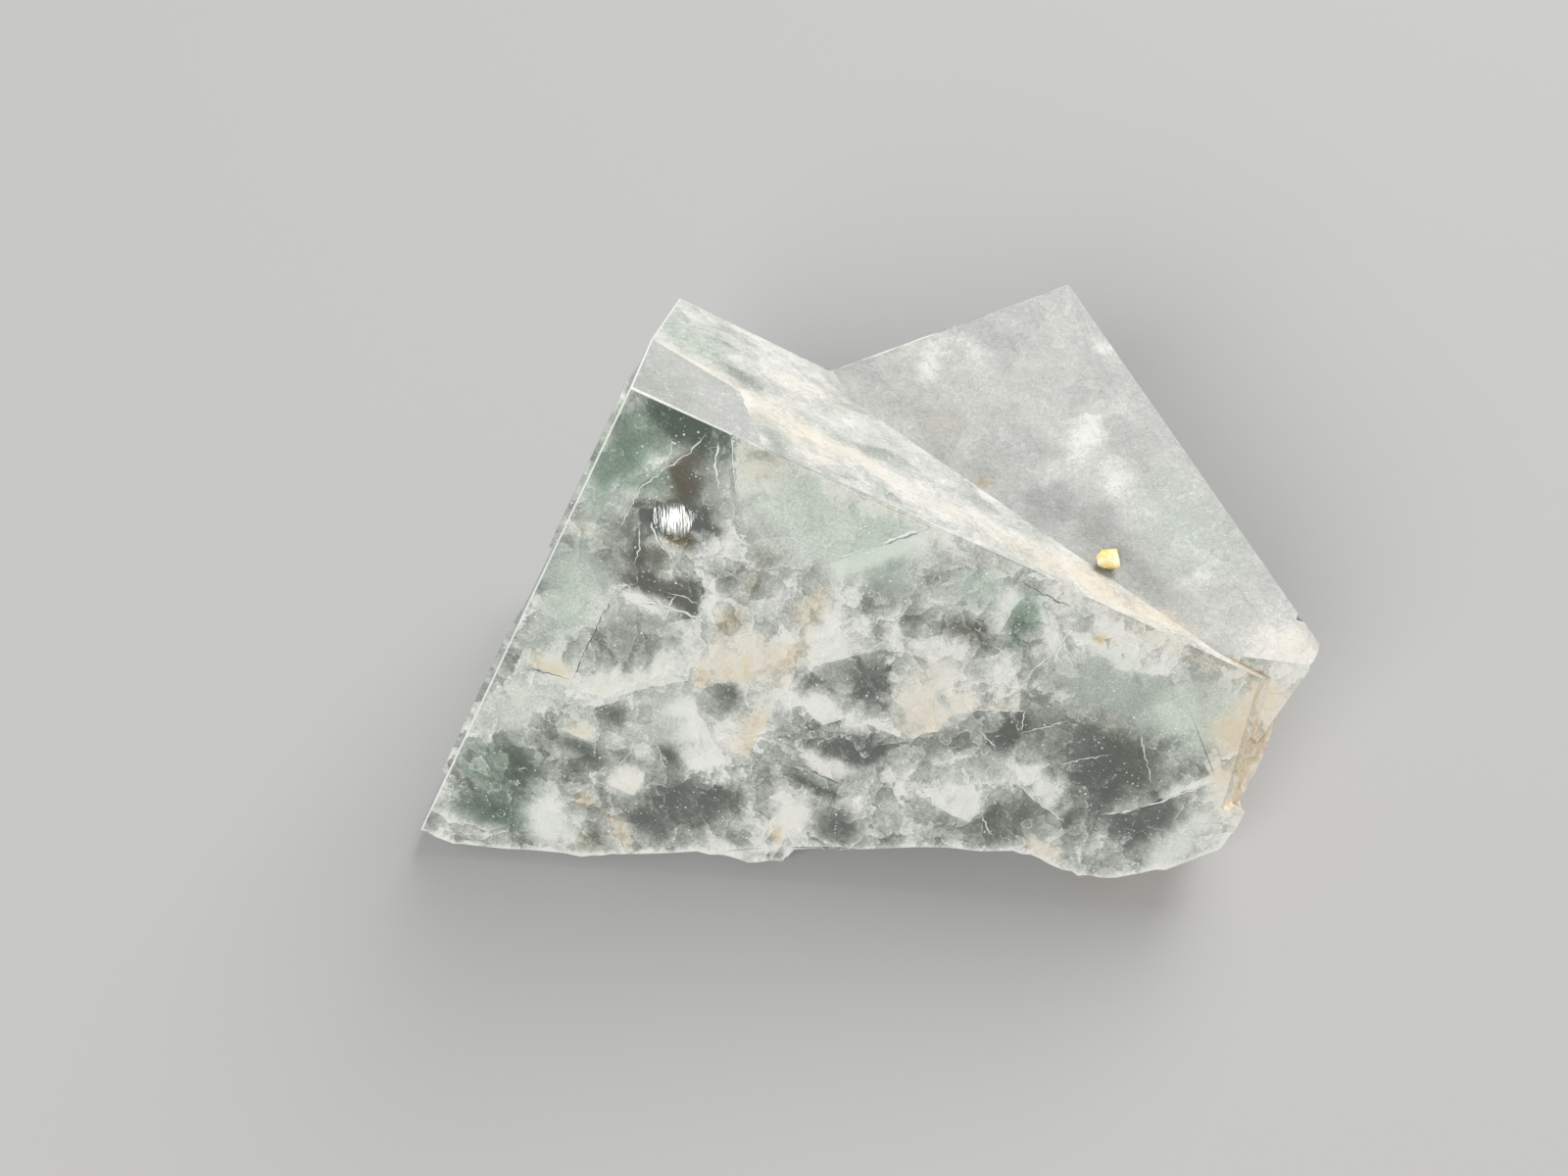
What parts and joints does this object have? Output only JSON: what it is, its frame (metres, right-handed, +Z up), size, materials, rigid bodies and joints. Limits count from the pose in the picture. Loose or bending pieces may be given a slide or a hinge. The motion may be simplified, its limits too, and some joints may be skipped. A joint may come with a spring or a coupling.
{
  "type": "fluorite specimen",
  "caption": "Hand specimen of grey-green fluorite: a leaning cubic crystal grown through a lower, upright one, with milky veils and cleavage cracks inside and a broken, flat base.",
  "frame": {"origin": "middle of the footprint's bounding box, on the surface that the broken base rests on", "axes": "+X runs to the right along the longest side, +Y runs away from the large leaning face, +Z is up"},
  "size_m": [0.0774, 0.0516, 0.0382],
  "materials": {
    "fluorite": "milky grey-green crystal, clear in places, with smooth and frosted faces",
    "yellow_mineral": "rough, dull yellow grain"
  },
  "bodies": {
    "root": {"fluorite_crystals": "fluorite", "yellow_grain": "yellow_mineral"}
  },
  "joints": []
}
